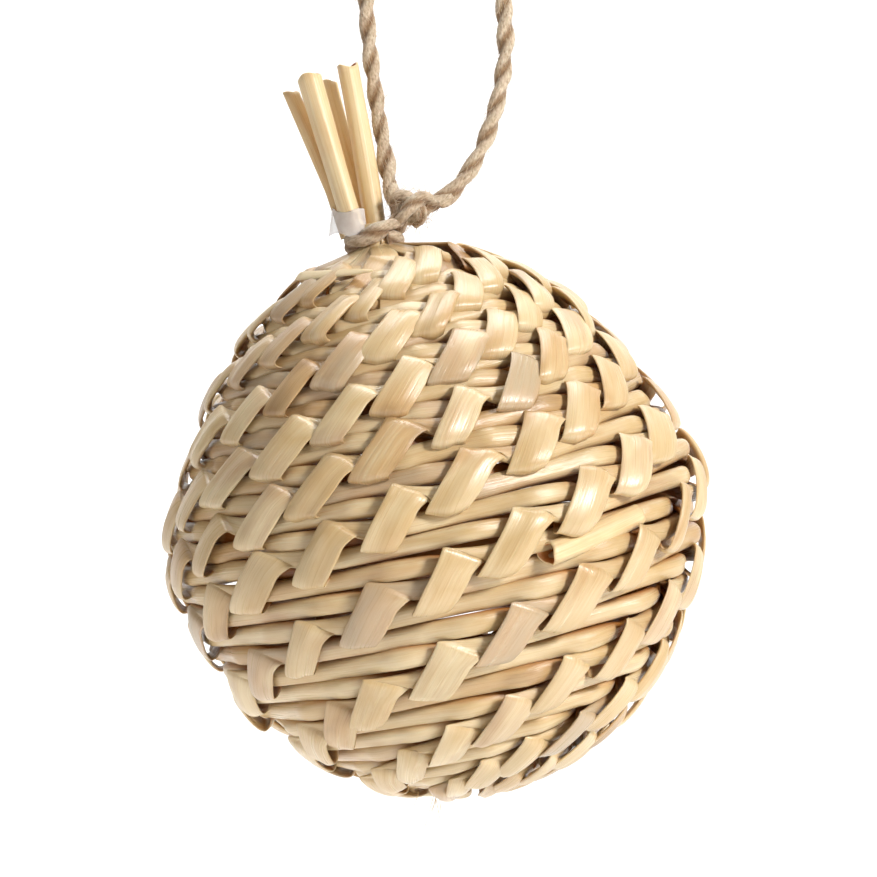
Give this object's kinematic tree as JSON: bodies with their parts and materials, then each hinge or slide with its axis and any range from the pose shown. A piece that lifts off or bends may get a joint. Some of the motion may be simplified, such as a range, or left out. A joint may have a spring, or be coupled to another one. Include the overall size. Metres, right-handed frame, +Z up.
{
  "type": "woven straw hanging ball ornament",
  "caption": "Hollow ball plaited from flattened straw in slanting rows of folds, its straw ends tied into a neck with jute twine that makes the hanging loop",
  "frame": {"origin": "inside top of the twine loop, where the hook goes", "axes": "+Z up, along the line from the hanging ball to the hook; the front of the ball faces -Y"},
  "size_m": [0.0792, 0.0798, 0.1402],
  "materials": {
    "straw": "dry plant fibre, satin",
    "folded_straw": "flattened plant fibre, satin",
    "pale_straw": "smooth hollow straw, satin",
    "twine": "hairy two-ply jute"
  },
  "bodies": {
    "root": {"straw_turns": "straw", "straw_starts": "straw", "fold_row_1": "folded_straw", "fold_row_2": "folded_straw", "fold_row_3": "folded_straw", "fold_row_4": "folded_straw", "fold_row_5": "folded_straw", "fold_row_6": "folded_straw", "fold_row_7": "folded_straw", "spliced_straw": "pale_straw", "loose_sliver": "pale_straw", "gathered_neck": "straw", "straw_end_left": "pale_straw", "straw_end_front": "pale_straw", "straw_end_back": "pale_straw", "straw_end_right": "pale_straw", "neck_binding": "twine", "loop_knot": "twine", "hanging_loop": "twine"}
  },
  "joints": []
}
